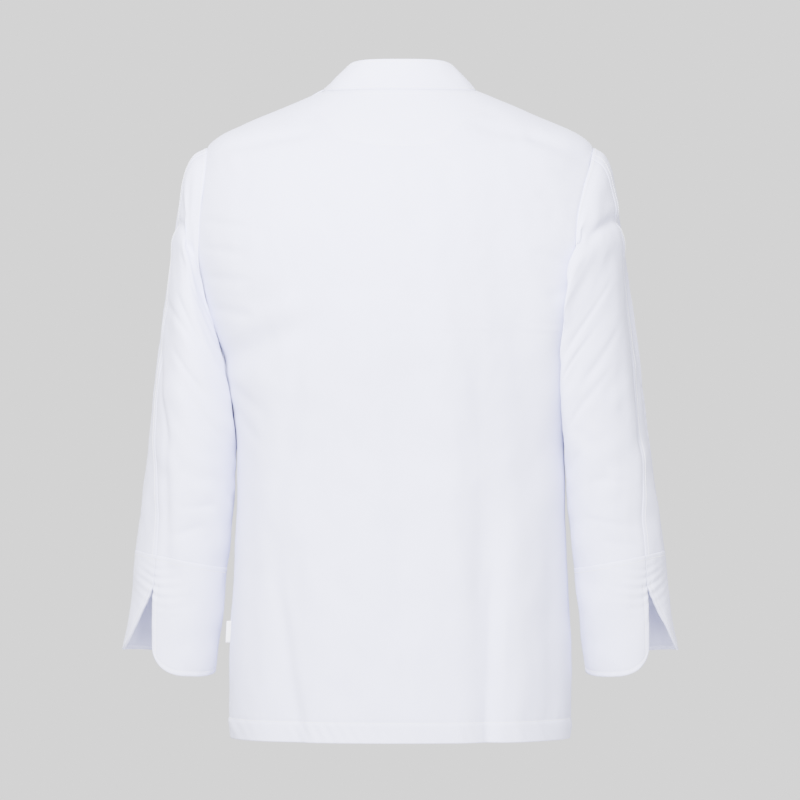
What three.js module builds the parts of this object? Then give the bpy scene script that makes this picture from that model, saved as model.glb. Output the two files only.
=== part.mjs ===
// A long-sleeved chef jacket with a stand collar, filled out as if worn, with nobody in it.
// Millimetres, +Z up. The jacket's front looks along -Y, so the wearer's left is +X.
// The origin is the middle of the neck base, level with the collar seam at the back.
import * as THREE from 'three';
import { mergeVertices } from 'three/addons/utils/BufferGeometryUtils.js';

// Driving dimensions
const CLOTH = 1.5; // wall of one panel
const SEAM_GAP = 0.3; // between two pieces that are sewn together
const ARMHOLE_GAP = 1; // the same at the armholes, where the facets of the two sides differ
const HEM_Z = -775;
const NECK_HALF_WIDTH = 91;
const FRONT_NECK_DROP = 60;
const UNDERARM_Z = -292;
const SHOULDER_Z = -68; // where the shoulder seam meets the sleeve
const OVERLAP_HALF = 78; // how far each front reaches past the centre line
const OVERLAP_LIFT = 3; // how far the upper front stands off the lower one
const FACING_GAP = 0.9;
const COLLAR_WALL = 2.4;
const COLLAR_BACK_HEIGHT = 36;
const CUFF_WALL = 2.2;
const CUFF_START = 0.815; // share of the sleeve's length where the cuff is sewn on
const SLIT_START = 0.865;
const SLIT_ANGLE = 1.02; // radians from the outermost line of the cuff towards the back
const SLEEVE_RADIUS = 35; // the tightest bend of a sleeve's section, at its seams
const CUFF_RADIUS = 55;
const SLEEVE_LENGTH = 760; // along its middle
const BUTTON_RADIUS = 9;
const BUTTON_ROWS = 5;
const BUTTON_PITCH = 105;
const TOP_BUTTON_Z = -92;

// A table is a list of named columns and a row for each section
const table = (names, rows) => ({ names, rows });

// The body at each height: half its width, its reach to the back and to the front,
// and how square the ring is (2 is an ellipse)
const BODY = table(['height', 'half', 'back', 'front', 'square'], [
  [HEM_Z, 203, 146, 147, 2.25],
  [-755, 205, 146, 147, 2.25],
  [-700, 205, 143, 145, 2.25],
  [-600, 201, 136, 140, 2.25],
  [-520, 197, 130, 136, 2.3],
  [-440, 195, 128, 134, 2.3],
  [-390, 200, 130, 136, 2.35],
  [-350, 207, 133, 138, 2.4],
  [-310, 216, 135, 140, 2.4],
  [-270, 228, 135, 141, 2.4],
  [-230, 241, 133, 140, 2.35],
  [-180, 251, 129, 134, 2.3],
  [-130, 249, 120, 120, 2.25],
  [-90, 241, 108, 98, 2.15],
  [SHOULDER_Z, 231, 99, 82, 2.1],
  [-54, 215, 90, 70, 2.1],
  [-40, 187, 80, 63, 2.05],
  [-25, 151, 69, 58, 2.0],
  [-8, 110, 56, 53, 2.0],
  [0, NECK_HALF_WIDTH, 50, 51, 2.0],
]);

// Half width of the panels at the armhole seam: on the wearer's left and right back, and in front
const ARMHOLE = table(['height', 'left', 'right', 'front'], [
  [UNDERARM_Z, 221, 221, 221],
  [-270, 226, 221, 221],
  [-240, 235, 213, 218],
  [-200, 240, 207, 215],
  [-160, 239, 209, 213],
  [-120, 235, 217, 216],
  [-90, 232, 226, 223],
  [SHOULDER_Z, 231, 231, 231],
]);

// The sleeve down its length: its outermost and innermost line
const SLEEVE = table(['down', 'outerX', 'outerZ', 'innerX', 'innerZ'], [
  [0.0, 231, SHOULDER_Z, 221, UNDERARM_Z],
  [0.04, 246, -76, 222, -302],
  [0.09, 258, -98, 221, -314],
  [0.16, 265, -140, 216, -331],
  [0.24, 272, -186, 209, -352],
  [0.34, 281, -246, 204, -378],
  [0.46, 292, -328, 199, -416],
  [0.58, 301, -412, 198, -458],
  [0.7, 309, -484, 200, -506],
  [0.815, 318, -553, 208, -574],
  [0.9, 323, -614, 214, -632],
  [1.0, 328, -690, 222, -696],
  [1.05, 331, -723, 226, -729],
]);

// Each sleeve's section down its length: where its middle lies in depth, half its depth, how far
// it is turned in plan, how far its back laps over the body, and how much slimmer its outside is
const POSE_COLUMNS = ['down', 'mid', 'half', 'turn', 'lap', 'trim'];
const POSE = {
  left: table(POSE_COLUMNS, [
    [0.0, -19, 61, 0, 0, 0],
    [0.06, -19, 62, 0, 0, 0],
    [0.12, -18, 64, -0.04, 0, -1],
    [0.24, -15, 71, -0.12, 0, -1],
    [0.36, -12, 75, -0.18, 0, 0],
    [0.48, -10, 74, -0.18, 0, 0],
    [0.62, -8, 69, -0.1, 0, 0],
    [0.82, -12, 62, 0, 0, 0],
    [1.0, -22, 60, 0, 0, 0],
  ]),
  right: table(POSE_COLUMNS, [
    [0.0, 1, 80, 0, 0, 0],
    [0.06, 3, 80, 0.03, 4, 3],
    [0.12, 7, 80, 0.12, 14, 4],
    [0.24, 12, 80, 0.24, 30, 4],
    [0.36, 10, 79, 0.26, 26, 4],
    [0.48, 7, 75, 0.24, 15, 4],
    [0.62, 5, 69, 0.15, 4, 3],
    [0.82, 0, 62, 0.05, 0, 1],
    [1.0, -12, 60, 0, 0, 0],
  ]),
};

// The largest folds of the back: where each starts and ends, its half width and its depth
const BACK_FOLDS = table(['topX', 'topZ', 'footX', 'footZ', 'half', 'depth'], [
  [-103, -500, -108, -800, 20, -9],
  [-128, -520, -134, -800, 26, 5],
  [146, -540, 124, -800, 26, -6],
  [0, -330, -2, -640, 34, -4],
  [-56, -120, -50, -560, 30, 4],
  [-122, -150, -118, -420, 34, -4],
  [112, -210, 108, -520, 34, -4],
  [168, -240, 176, -330, 30, -6],
]);

// The largest folds of each sleeve: start and end as share of the length and angle round it
const SLEEVE_FOLDS = {
  left: table(['down', 'angle', 'toDown', 'toAngle', 'half', 'depth'], [
    [0.17, 0.3, 0.25, 1.9, 0.055, -4],
    [0.34, 0.45, 0.8, 0.75, 0.05, -4],
    [0.2, 3.6, 0.45, 4.4, 0.05, -4],
  ]),
  right: table(['down', 'angle', 'toDown', 'toAngle', 'half', 'depth'], [
    [0.16, 0.25, 0.22, 1.5, 0.04, -6],
    [0.3, 0.3, 0.62, 0.5, 0.05, -5],
    [0.2, 3.7, 0.45, 4.5, 0.05, -4],
  ]),
};

const TURN = 2 * Math.PI;
const wrapped = (angle) => ((angle % TURN) + TURN) % TURN;
const clamp = (value, low, high) => Math.min(high, Math.max(low, value));
const mix = (a, b, share) => a + (b - a) * share;
const smooth = (low, high, value) => {
  const share = clamp((value - low) / (high - low), 0, 1);
  return share * share * (3 - 2 * share);
};
const power = (value, exponent) => Math.sign(value) * Math.abs(value) ** exponent;

// A column of a table at any place along its first column, on a curve that never overshoots
function read({ names, rows }, name, at) {
  const column = names.indexOf(name);
  const place = clamp(at, rows[0][0], rows[rows.length - 1][0]);
  const row = clamp(rows.findIndex((entry) => entry[0] >= place) - 1, 0, rows.length - 2);
  const slope = (from) => (rows[from + 1][column] - rows[from][column])
    / (rows[from + 1][0] - rows[from][0]);
  const tangent = (index) => {
    if (index === 0) return slope(0);
    if (index === rows.length - 1) return slope(index - 1);
    const before = slope(index - 1);
    const after = slope(index);
    return before * after <= 0 ? 0 : (2 * before * after) / (before + after);
  };
  const span = rows[row + 1][0] - rows[row][0];
  const t = (place - rows[row][0]) / span;
  const start = rows[row][column];
  const end = rows[row + 1][column];
  return (1 + 2 * t) * (1 - t) ** 2 * start + t * (1 - t) ** 2 * span * tangent(row)
    + t * t * (3 - 2 * t) * end + t * t * (t - 1) * span * tangent(row + 1);
}

// A soft trough or ridge along a line on a surface, with ends that fade
function fold(along, across, length, half, depth) {
  const ends = smooth(-0.25, 0.2, along / length) * (1 - smooth(0.8, 1.25, along / length));
  return depth * ends * Math.exp(-((across / half) ** 2));
}

function backRelief(x, z) {
  let sum = 0;
  for (const [topX, topZ, footX, footZ, half, depth] of BACK_FOLDS.rows) {
    const along = topZ - z;
    const length = topZ - footZ;
    sum += fold(along, x - mix(topX, footX, along / length), length, half, depth);
  }
  return sum * smooth(0, -60, z);
}

// A point of the body's ring at a height, by its angle from the middle of the face
function ringPoint(face, angle, z) {
  const square = read(BODY, 'square', z);
  const reach = read(BODY, face, z) * (face === 'back' ? 1 : -1);
  const x = read(BODY, 'half', z) * power(Math.sin(angle), 2 / square);
  return new THREE.Vector3(x, reach * power(Math.cos(angle), 2 / square), z);
}

// The angle at which the ring reaches a given half width
function angleAt(x, z) {
  const share = clamp(Math.abs(x) / read(BODY, 'half', z), 0, 1);
  return Math.sign(x) * Math.asin(share ** (read(BODY, 'square', z) / 2));
}

// The half width of a panel at a height: the ring's own, or the armhole's where that is less
function panelEdge(column, z) {
  const half = read(BODY, 'half', z);
  if (z <= UNDERARM_Z) return half;
  return Math.min(half, read(ARMHOLE, column, z));
}

// Angles evenly spaced by length between two places on a ring, held clear of its two ends
function spacedAngle(face, z, from, to, share, inset) {
  const steps = 64;
  const points = [];
  for (let i = 0; i <= steps; i += 1) {
    points.push(ringPoint(face, mix(from, to, i / steps), z));
  }
  const lengths = [0];
  for (let i = 1; i <= steps; i += 1) {
    lengths.push(lengths[i - 1] + points[i].distanceTo(points[i - 1]));
  }
  const whole = lengths[steps];
  const wanted = inset[0] + share * (whole - inset[0] - inset[1]);
  const step = clamp(lengths.findIndex((length) => length >= wanted), 1, steps);
  const part = (wanted - lengths[step - 1]) / (lengths[step] - lengths[step - 1]);
  return mix(from, to, (step - 1 + part) / steps);
}

// A point of the body's skin, moved out along the skin's own direction
function skinPoint(face, angle, z, out) {
  const nudge = 0.002;
  const here = ringPoint(face, angle, z);
  const round = ringPoint(face, angle + nudge, z).sub(ringPoint(face, angle - nudge, z));
  const up = ringPoint(face, angle, z + 1).sub(ringPoint(face, angle, z - 1));
  const normal = round.cross(up).normalize();
  if (normal.y * here.y + normal.x * here.x < 0) normal.negate();
  const relief = face === 'back' ? backRelief(here.x, z) : 0;
  return here.addScaledVector(normal, out + relief);
}

// How far the front neckline lies below the back one, by its share of the way out to the side
const neckDrop = (share) => FRONT_NECK_DROP * Math.max(0, 1 - share * share) ** 0.8;

const seamHalf = SEAM_GAP / 2;

// The back panel: across runs from the wearer's right to the left, up from the hem to the neck
function backPoint(across, z, out) {
  const from = angleAt(-panelEdge('right', z), z);
  const to = angleAt(panelEdge('left', z), z);
  const angle = spacedAngle('back', z, from, to, across, [seamHalf, seamHalf]);
  return skinPoint('back', angle, z, out);
}

// A front panel on one side (1 is the wearer's left): across runs from its side to its free edge,
// and each row sags towards the middle, so that the top one is the neckline
function frontPoint(side, across, level, out) {
  const edge = panelEdge('front', level);
  const from = angleAt(edge, level);
  const to = -angleAt(OVERLAP_HALF, level);
  const angle = spacedAngle('front', level, from, to, across, [seamHalf, seamHalf]);
  const { x } = ringPoint('front', angle, level);
  const sag = neckDrop(x / edge) * smooth(-220, 0, level);
  const z = level - sag;
  const over = side > 0 ? OVERLAP_LIFT * smooth(1.5, 1.12, x / OVERLAP_HALF) : 0;
  const point = skinPoint('front', angleAt(x, z), z, out + over);
  point.x *= side;
  return point;
}

// A wall of cloth between the outer and the inner points of a grid, closed at its four edges
function wall(columns, rows, pointAt, thickness) {
  const vertices = [];
  const add = (a, b, c, d) => {
    for (const corner of [a, b, c, a, c, d]) vertices.push(corner.x, corner.y, corner.z);
  };
  const layer = (out) => Array.from({ length: columns + 1 }, (_, column) => (
    Array.from({ length: rows.length }, (_, row) => pointAt(column / columns, rows[row], out))));
  const outer = layer(0);
  const inner = layer(-thickness);
  const last = rows.length - 1;
  for (let i = 0; i < columns; i += 1) {
    for (let j = 0; j < last; j += 1) {
      add(outer[i][j], outer[i + 1][j], outer[i + 1][j + 1], outer[i][j + 1]);
      add(inner[i][j], inner[i][j + 1], inner[i + 1][j + 1], inner[i + 1][j]);
    }
    add(outer[i][0], inner[i][0], inner[i + 1][0], outer[i + 1][0]);
    add(outer[i][last], outer[i + 1][last], inner[i + 1][last], inner[i][last]);
  }
  for (let j = 0; j < last; j += 1) {
    add(outer[0][j], outer[0][j + 1], inner[0][j + 1], inner[0][j]);
    add(outer[columns][j], inner[columns][j], inner[columns][j + 1], outer[columns][j + 1]);
  }
  return outward(vertices);
}

// A geometry of loose triangles, turned so that its volume is positive, with shared corners
function outward(vertices) {
  let volume = 0;
  const [a, b, c] = [new THREE.Vector3(), new THREE.Vector3(), new THREE.Vector3()];
  for (let i = 0; i < vertices.length; i += 9) {
    a.fromArray(vertices, i);
    b.fromArray(vertices, i + 3);
    c.fromArray(vertices, i + 6);
    volume += a.dot(b.cross(c));
  }
  if (volume < 0) {
    for (let i = 0; i < vertices.length; i += 9) {
      for (let axis = 0; axis < 3; axis += 1) {
        [vertices[i + 3 + axis], vertices[i + 6 + axis]] = [
          vertices[i + 6 + axis], vertices[i + 3 + axis]];
      }
    }
  }
  const geometry = new THREE.BufferGeometry();
  geometry.setAttribute('position', new THREE.Float32BufferAttribute(vertices, 3));
  const merged = mergeVertices(geometry, 0.0005);
  merged.computeVertexNormals();
  return merged;
}

// Evenly spaced heights over each stretch of a list of stops, each with its number of steps
function levels(start, stretches) {
  const heights = [start];
  for (const [end, steps] of stretches) {
    const from = heights[heights.length - 1];
    for (let i = 1; i <= steps; i += 1) heights.push(mix(from, end, i / steps));
  }
  return heights;
}

// The armhole's edge on one side, from the shoulder point (0) round the back or front to the
// underarm (1), evenly spaced by length
function armholeEdges(side) {
  const trace = (face) => {
    const column = face === 'front' ? 'front' : (side > 0 ? 'left' : 'right');
    const points = [];
    for (let z = -40; z >= UNDERARM_Z; z -= 1) {
      if (read(BODY, 'half', z) < read(ARMHOLE, column, z)) continue;
      const point = skinPoint(face, angleAt(panelEdge(column, z), z), z, 0);
      points.push(new THREE.Vector3(point.x * side, point.y, point.z));
    }
    points.push(new THREE.Vector3(side * read(BODY, 'half', UNDERARM_Z), 0, UNDERARM_Z));
    points[0].y = 0;
    return new THREE.CatmullRomCurve3(points);
  };
  return { back: trace('back'), front: trace('front') };
}

const EDGES = { left: armholeEdges(1), right: armholeEdges(-1) };

// The plain section of a sleeve, by its share of the length and the angle round it: 0 is its
// outermost line, a quarter turn is the back
function sectionPoint(side, angle, down) {
  const pose = (column) => read(side > 0 ? POSE.left : POSE.right, column, down);
  const outerX = read(SLEEVE, 'outerX', down) - pose('trim');
  const outer = new THREE.Vector3(outerX, 0, read(SLEEVE, 'outerZ', down));
  const inner = new THREE.Vector3(read(SLEEVE, 'innerX', down), 0, read(SLEEVE, 'innerZ', down));
  const middle = outer.clone().add(inner).multiplyScalar(0.5);
  const reach = outer.sub(inner).multiplyScalar(0.5);
  const point = middle.addScaledVector(reach, Math.cos(angle));
  point.y = pose('mid') + pose('half') * Math.sin(angle);
  point.y -= Math.sin(pose('turn')) * reach.length() * Math.cos(angle);
  const behind = Math.exp(-((wrapped(angle) - 2.1) ** 2) / 0.64);
  point.x -= pose('lap') * behind;
  point.x *= side;
  return point;
}

// How far a sleeve stands clear of the body's skin: points nearer than that are moved out
function clearOfBody(point, clearance) {
  const face = point.y > 0 ? 'back' : 'front';
  const column = face === 'front' ? 'front' : (point.x > 0 ? 'left' : 'right');
  const square = read(BODY, 'square', point.z);
  const depth = read(BODY, face, point.z);
  const across = Math.max(0, 1 - Math.abs(point.y / depth) ** square) ** (1 / square);
  const skin = Math.min(across * read(BODY, 'half', point.z), panelEdge(column, point.z));
  const short = skin + clearance - Math.abs(point.x);
  const push = (short + Math.sqrt(short * short + 9)) / 2;
  point.x += Math.sign(point.x) * push * smooth(-0.5, 1, across * 40);
  return point;
}

// A point of a sleeve: its section, drawn onto the armhole at the top and kept clear of the body
function sleevePoint(side, angle, down, out) {
  const bare = (angleHere, downHere) => {
    const point = sectionPoint(side, angleHere, downHere);
    const turn = wrapped(angleHere);
    const edges = EDGES[side > 0 ? 'left' : 'right'];
    const face = turn <= Math.PI ? 'back' : 'front';
    const share = turn <= Math.PI ? turn / Math.PI : (TURN - turn) / Math.PI;
    const seam = edges[face].getPointAt(clamp(share, 0, 1));
    const fade = 1 - smooth(0, 0.3, downHere);
    point.addScaledVector(seam.sub(sectionPoint(side, angleHere, 0)), fade);
    point.x += side * ARMHOLE_GAP;
    return downHere > 0.02 ? clearOfBody(point, 2.8 * smooth(0, 0.05, downHere)) : point;
  };
  const nudge = 0.1; // wide enough for two pieces to share a direction where they meet at a crease
  const round = bare(angle + nudge, down).sub(bare(angle - nudge, down));
  const along = bare(angle, down + nudge / 10).sub(bare(angle, Math.max(0, down - nudge / 10)));
  const normal = round.cross(along).normalize().multiplyScalar(-side);
  const point = bare(angle, down);
  let relief = 0;
  const turn = wrapped(angle);
  for (const row of SLEEVE_FOLDS[side > 0 ? 'left' : 'right'].rows) {
    const [fromDown, fromAngle, toDown, toAngle, halfWidth, depth] = row;
    const lengthX = toDown - fromDown;
    const lengthY = (toAngle - fromAngle) * 0.1;
    const length = Math.hypot(lengthX, lengthY);
    const x = down - fromDown;
    const y = (turn - fromAngle) * 0.1;
    const alongFold = (x * lengthX + y * lengthY) / length;
    const across = (x * lengthY - y * lengthX) / length;
    relief += fold(alongFold, across, length, halfWidth, depth);
  }
  return point.addScaledVector(normal, out + relief * smooth(0, 0.06, down));
}

// One of a sleeve's two pieces: the upper one is outside and in front, the under one behind
function sleeveGeometry(side, piece) {
  const rows = levels(0, [[0.09, 3], [0.46, 7], [CUFF_START, 5]]);
  const inset = seamHalf / SLEEVE_RADIUS;
  const pointAt = (across, down, out) => {
    const frontSeam = mix(3.7, 3.9, smooth(0.3, 0.8, down));
    const [from, to] = piece === 'under' ? [SLIT_ANGLE, frontSeam] : [frontSeam, SLIT_ANGLE + TURN];
    return sleevePoint(side, mix(from + inset, to - inset, across), down, out);
  };
  return wall(piece === 'under' ? 10 : 13, rows, pointAt, CLOTH);
}

// The cuff: one wall round the wrist, slit at the back, with a rounded corner on the back flap
function cuffGeometry(side) {
  const inset = seamHalf / CUFF_RADIUS;
  const opening = (down) => 0.92 * clamp((down - SLIT_START) / (1 - SLIT_START), 0, 1);
  const pointAt = (across, share, out) => {
    const corner = clamp(across / 0.15, 0, 1);
    const rounded = 0.36 * (1 - Math.sqrt(1 - (1 - corner) ** 2));
    const frontRise = 0.33 * smooth(0.2, 0.8, across);
    const end = 1.016 - (1 - SLIT_START) * (rounded + frontRise);
    const down = mix(CUFF_START + SEAM_GAP / SLEEVE_LENGTH, end, share);
    const low = SLIT_ANGLE + inset;
    const high = SLIT_ANGLE + TURN - inset - opening(down);
    return sleevePoint(side, mix(low, high, across), down, out + CUFF_WALL - CLOTH);
  };
  return wall(24, levels(0, [[0.27, 2], [1, 5]]), pointAt, CUFF_WALL);
}

// The stand collar: it rises from the neckline and leans in to its rim
function collarPoint(turn, up, out) {
  const bare = (turnHere, upHere) => {
    const cos = Math.cos(turnHere);
    const sin = Math.sin(turnHere);
    const forward = Math.max(0, -cos);
    const baseZ = -FRONT_NECK_DROP * forward ** 1.6;
    const angle = angleAt(NECK_HALF_WIDTH * sin, baseZ);
    const over = cos < 0 ? smooth(1.5, 1.12, (NECK_HALF_WIDTH / OVERLAP_HALF) * sin) : 0;
    const lift = turnHere > 0 ? OVERLAP_LIFT * over : 0;
    const skin = skinPoint(cos > 0 ? 'back' : 'front', angle, baseZ, lift);
    const rim = new THREE.Vector3(
      66 * power(sin, 0.94),
      (cos > 0 ? 44 : 60) * power(cos, 0.95),
      COLLAR_BACK_HEIGHT - 63 * ((1 - cos) / 2) ** 2.15,
    );
    const base = new THREE.Vector3(skin.x, cos > 0 ? skin.y : -Math.abs(skin.y), skin.z);
    const point = base.lerp(rim, upHere);
    const bow = 2.5 * Math.sin(Math.PI * upHere);
    return point.add(new THREE.Vector3(sin * bow, cos * bow, 0));
  };
  const away = new THREE.Vector3(Math.sin(turn), Math.cos(turn), 0);
  return bare(turn, up).addScaledVector(away, out);
}

function collarGeometry() {
  const end = Math.PI - 0.02;
  const pointAt = (across, up, out) => collarPoint(mix(-end, end, across), up, out);
  return wall(32, levels(0.03, [[1, 4]]), pointAt, COLLAR_WALL);
}

// The half-moon facing inside the back neck
function facingGeometry() {
  const pointAt = (across, share, out) => {
    const x = mix(-88, 88, across);
    const foot = -68 + 36 * smooth(46, 92, Math.abs(x));
    const z = mix(foot, -1.5, share);
    return skinPoint('back', angleAt(x, z), z, out - CLOTH - FACING_GAP);
  };
  return wall(12, levels(0, [[1, 5]]), pointAt, 1.0);
}

// A sew-through button: a disc with a raised rim and a shallow dish
function buttonGeometry() {
  const profile = [
    [0, 0], [BUTTON_RADIUS - 1.4, 0], [BUTTON_RADIUS, 1.3], [BUTTON_RADIUS - 1.2, 3],
    [BUTTON_RADIUS - 3, 2.2], [0, 2.2],
  ];
  const lathe = new THREE.LatheGeometry(profile.map(([r, h]) => new THREE.Vector2(r, h)), 12);
  const loose = lathe.toNonIndexed();
  return outward(Array.from(loose.attributes.position.array));
}

// A small folded tab that is caught in the wearer's left side seam
function labelGeometry() {
  const outline = new THREE.Shape();
  outline.moveTo(0, 0);
  outline.lineTo(6, 0);
  outline.lineTo(6, 26);
  outline.lineTo(0, 26);
  outline.closePath();
  return new THREE.ExtrudeGeometry(outline, { depth: 1.2, bevelEnabled: false });
}

const cloth = (name) => new THREE.MeshStandardMaterial({
  name, color: 0xe9e9f0, roughness: 0.85, metalness: 0,
});
const jacket = new THREE.Group();

function piece(name, geometry, material) {
  const mesh = new THREE.Mesh(geometry, material);
  mesh.name = name;
  jacket.add(mesh);
  return mesh;
}

const armholeRows = [
  [UNDERARM_Z, 2], [-287, 1], [-277, 1], [-232, 4], [-105, 5], [-80, 2], [-72, 1], [SHOULDER_Z, 1],
];
const backRows = levels(HEM_Z, [[-560, 5], [-330, 6], ...armholeRows, [-25, 4], [0, 3]]);
piece('back', wall(22, backRows, backPoint, CLOTH), cloth('white twill'));

const frontRows = levels(HEM_Z, [[-330, 8], ...armholeRows, [-25, 3], [0, 3]]);
for (const [name, side] of [['front_left', 1], ['front_right', -1]]) {
  const pointAt = (across, z, out) => frontPoint(side, across, z, out);
  piece(name, wall(13, frontRows, pointAt, CLOTH), cloth('white twill'));
}

piece('collar', collarGeometry(), cloth('white twill, doubled'));
piece('neck_facing', facingGeometry(), cloth('white twill'));

for (const [name, side] of [['left', 1], ['right', -1]]) {
  piece(`sleeve_${name}_upper`, sleeveGeometry(side, 'upper'), cloth('white twill'));
  piece(`sleeve_${name}_under`, sleeveGeometry(side, 'under'), cloth('white twill'));
  piece(`cuff_${name}`, cuffGeometry(side), cloth('white twill, doubled'));
}

const labelZ = -636;
const label = piece('side_label', labelGeometry(), new THREE.MeshStandardMaterial({
  name: 'white satin ribbon', color: 0xf0f0f2, roughness: 0.5, metalness: 0,
}));
label.rotation.x = Math.PI / 2;
label.position.set(read(BODY, 'half', labelZ) + 0.6, 0.6, labelZ);

const shank = 0.4; // a button stands this far off the cloth, on its thread
for (const [name, side] of [['left', 1], ['right', -1]]) {
  for (let row = 0; row < BUTTON_ROWS; row += 1) {
    const z = TOP_BUTTON_Z - row * BUTTON_PITCH;
    const x = side * (62 - 1.5 * row);
    const foot = skinPoint('front', angleAt(x, z), z, OVERLAP_LIFT + shank);
    const tip = skinPoint('front', angleAt(x, z), z, OVERLAP_LIFT + shank + 1);
    const resin = new THREE.MeshStandardMaterial({
      name: 'white resin', color: 0xf2f2ee, roughness: 0.35, metalness: 0,
    });
    const button = piece(`button_${name}_${row + 1}`, buttonGeometry(), resin);
    button.position.copy(foot);
    button.quaternion.setFromUnitVectors(new THREE.Vector3(0, 1, 0), tip.sub(foot).normalize());
  }
}

export default jacket;
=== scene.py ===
# %% [markdown]
# # A white chef jacket, seen from behind
# The jacket is filled out as if somebody wore it, and nobody is in it. A maker cuts it from
# fine white twill: one back, two lapping fronts, two-piece sleeves, deep slit cuffs and a stand
# collar. The imported model already holds each piece as a plain wall in its true place.
# This script dresses those walls: it draws every panel again as a much finer wall on the same
# form, with creases, hems, seams, thread and weave.

# %% Load the imported model and bake each part's placement into its mesh
import math

import bpy
import numpy as np
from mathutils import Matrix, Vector


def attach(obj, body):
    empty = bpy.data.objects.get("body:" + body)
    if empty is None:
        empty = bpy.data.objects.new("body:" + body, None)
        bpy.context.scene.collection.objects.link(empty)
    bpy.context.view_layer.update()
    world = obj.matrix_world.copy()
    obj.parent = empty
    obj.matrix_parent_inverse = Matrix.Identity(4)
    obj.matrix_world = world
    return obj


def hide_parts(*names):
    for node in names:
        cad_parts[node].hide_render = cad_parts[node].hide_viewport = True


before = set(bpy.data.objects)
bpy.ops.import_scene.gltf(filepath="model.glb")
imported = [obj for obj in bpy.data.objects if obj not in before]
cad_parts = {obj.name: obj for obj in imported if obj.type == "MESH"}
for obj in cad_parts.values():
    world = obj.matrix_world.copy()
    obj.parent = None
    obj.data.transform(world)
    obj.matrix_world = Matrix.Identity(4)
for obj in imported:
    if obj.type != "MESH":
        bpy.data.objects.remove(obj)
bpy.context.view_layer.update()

# %% [markdown]
# ## The camera first
# The photo is a product picture from behind, taken from far away at the height of the waist, so
# the sides of the jacket run almost parallel. A long lens seven metres away gives that. Its
# numbers come from the picture: one pixel is 1.2 mm where the sleeves hang.

# %% Camera
CAMERA_AWAY = 7.2
CAMERA_HEIGHT = -0.3708


def make_camera():
    data = bpy.data.cameras.new("camera")
    data.lens = 270
    data.sensor_width = 36
    camera = bpy.data.objects.new("camera", data)
    camera.location = (0.0006, CAMERA_AWAY, CAMERA_HEIGHT)
    camera.rotation_euler = (math.pi / 2, 0, math.pi)
    bpy.context.collection.objects.link(camera)
    bpy.context.scene.camera = camera


make_camera()

# %% [markdown]
# ## Tables of sections
# A garment is easy to describe by its sections: how wide and how deep it is at a few heights.
# A row of each table is one section, in millimetres, and a smooth curve runs from row to row.
# The curve never overshoots, so a waist stays as slim as its row says. These are the same tables
# as in the model, which keeps the fine panels on the plain ones.

# %% Small helpers for curves
MM = 0.001
TURN = 2 * math.pi


def smooth(low, high, value):
    share = np.clip((value - low) / (high - low), 0, 1)
    return share * share * (3 - 2 * share)


def mix(a, b, share):
    return a + (b - a) * share


def power(value, exponent):
    return np.sign(value) * np.abs(value) ** exponent


def bell(distance, half):
    """1 on a line, falling off softly to both sides."""
    return np.exp(-((distance / half) ** 2))


def unit(vectors):
    return vectors / np.maximum(np.linalg.norm(vectors, axis=-1, keepdims=True), 1e-9)


def table(names, rows):
    return names.split(), np.array(rows, float)


def read(source, column, at):
    """A column of a table at any place along its first column."""
    names, rows = source
    x, y = rows[:, 0], rows[:, names.index(column)]
    slope = np.diff(y) / np.diff(x)
    tangent = np.concatenate([slope[:1], np.zeros(len(x) - 2), slope[-1:]])
    for i in range(1, len(x) - 1):
        if slope[i - 1] * slope[i] > 0:
            tangent[i] = 2 * slope[i - 1] * slope[i] / (slope[i - 1] + slope[i])
    place = np.clip(at, x[0], x[-1])
    row = np.clip(np.searchsorted(x, place) - 1, 0, len(x) - 2)
    span = x[row + 1] - x[row]
    t = (place - x[row]) / span
    return ((1 + 2 * t) * (1 - t) ** 2 * y[row] + t * (1 - t) ** 2 * span * tangent[row]
            + t * t * (3 - 2 * t) * y[row + 1] + t * t * (t - 1) * span * tangent[row + 1])


# %% The jacket's sizes and sections
CLOTH = 1.2
NECK_HALF_WIDTH = 91
FRONT_NECK_DROP = 60
HEM_Z = -775
UNDERARM_Z = -292
SHOULDER_Z = -68
OVERLAP_HALF = 78
OVERLAP_LIFT = 3
CUFF_START = 0.815
SLIT_START = 0.865
SLIT_ANGLE = 1.02
HEM_DEPTH = 24

BODY = table("height half back front square", [
    [HEM_Z, 203, 146, 147, 2.25], [-755, 205, 146, 147, 2.25], [-700, 205, 143, 145, 2.25],
    [-600, 201, 136, 140, 2.25], [-520, 197, 130, 136, 2.3], [-440, 195, 128, 134, 2.3],
    [-390, 200, 130, 136, 2.35], [-350, 207, 133, 138, 2.4], [-310, 216, 135, 140, 2.4],
    [-270, 228, 135, 141, 2.4], [-230, 241, 133, 140, 2.35], [-180, 251, 129, 134, 2.3],
    [-130, 249, 120, 120, 2.25], [-90, 241, 108, 98, 2.15], [SHOULDER_Z, 231, 99, 82, 2.1],
    [-54, 215, 90, 70, 2.1], [-40, 187, 80, 63, 2.05], [-25, 151, 69, 58, 2.0],
    [-8, 110, 56, 53, 2.0], [0, NECK_HALF_WIDTH, 50, 51, 2.0],
])
ARMHOLE = table("height left right front", [
    [UNDERARM_Z, 221, 221, 221], [-270, 226, 221, 221], [-240, 235, 213, 218],
    [-200, 240, 207, 215], [-160, 239, 209, 213], [-120, 235, 217, 216],
    [-90, 232, 226, 223], [SHOULDER_Z, 231, 231, 231],
])
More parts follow.
